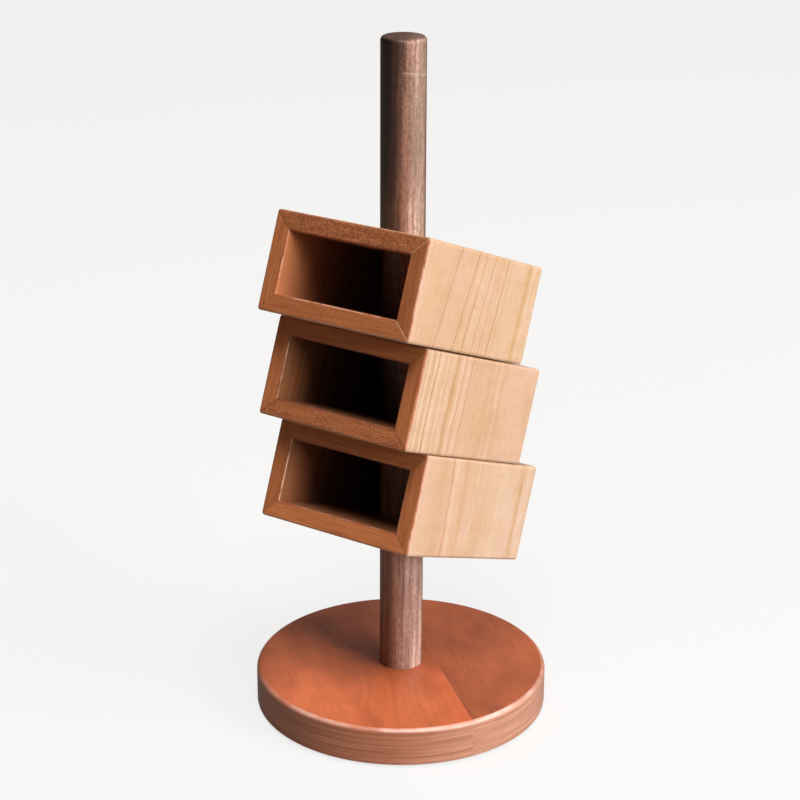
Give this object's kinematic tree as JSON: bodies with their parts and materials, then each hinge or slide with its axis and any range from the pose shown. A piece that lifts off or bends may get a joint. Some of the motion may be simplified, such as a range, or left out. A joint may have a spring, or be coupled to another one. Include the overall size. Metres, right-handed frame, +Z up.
{
  "type": "pole-mounted tilted box organiser",
  "caption": "Tilted, open-fronted wooden boxes threaded on an upright pole in a heavy round base; each box slides and turns on the pole to fan out.",
  "frame": {"origin": "on the pole's axis, at the table plane under the foot pads", "axes": "+Z up along the pole; the boxes open towards -Y and hang lower at +Y; +X is to the right seen from the open side"},
  "size_m": [0.163, 0.163, 0.378],
  "materials": {
    "light_cherry": "satin oiled, fine straight growth lines",
    "red_cherry": "satin oiled, reddish orange",
    "dark_cherry": "satin oiled, darker red brown",
    "walnut": "satin oiled, streaked grain along the pole",
    "grip_rubber": "matte",
    "felt": "pressed felt",
    "steel": "zinc plated"
  },
  "bodies": {
    "stand": {"base_board_long": "red_cherry", "base_board_short": "dark_cherry", "pole": "walnut", "pole_washer": "steel", "pole_screw": "steel", "foot_pad_1": "felt", "foot_pad_2": "felt", "foot_pad_3": "felt", "foot_pad_4": "felt"},
    "bottom_grip": {"bottom_grip_ring": "grip_rubber"},
    "bottom_box": {"bottom_roof_board": "light_cherry", "bottom_floor_board": "light_cherry", "bottom_left_board": "light_cherry", "bottom_right_board": "light_cherry", "bottom_back_board": "light_cherry"},
    "middle_grip": {"middle_grip_ring": "grip_rubber"},
    "middle_box": {"middle_roof_board": "light_cherry", "middle_floor_board": "light_cherry", "middle_left_board": "light_cherry", "middle_right_board": "light_cherry", "middle_back_board": "light_cherry"},
    "top_grip": {"top_grip_ring": "grip_rubber"},
    "top_box": {"top_roof_board": "light_cherry", "top_floor_board": "light_cherry", "top_left_board": "light_cherry", "top_right_board": "light_cherry", "top_back_board": "light_cherry"}
  },
  "joints": [
    {"name": "stack_slide", "type": "slide", "parent": "stand", "child": "bottom_grip", "axis": [0, 0, 1], "range_m": [-0.057, 0.05]},
    {"name": "stack_turn", "type": "hinge", "parent": "bottom_grip", "child": "bottom_box", "pos_m": [0, 0, 0.1272], "axis": [0, 0, 1], "continuous": true},
    {"name": "middle_climb", "type": "slide", "parent": "bottom_box", "child": "middle_grip", "axis": [0, 0, 1], "range_m": [0, 0.0482]},
    {"name": "middle_turn", "type": "hinge", "parent": "middle_grip", "child": "middle_box", "pos_m": [0, 0, 0.1853], "axis": [0, 0, 1], "range_deg": [0, 120]},
    {"name": "top_climb", "type": "slide", "parent": "middle_box", "child": "top_grip", "axis": [0, 0, 1], "range_m": [0, 0.0482]},
    {"name": "top_turn", "type": "hinge", "parent": "top_grip", "child": "top_box", "pos_m": [0, 0, 0.2434], "axis": [0, 0, 1], "range_deg": [0, 120]}
  ],
  "couplings": [
    {"joint": "middle_climb", "follows": "middle_turn", "m_per_rad": 0.0229},
    {"joint": "top_climb", "follows": "top_turn", "m_per_rad": 0.0229}
  ]
}
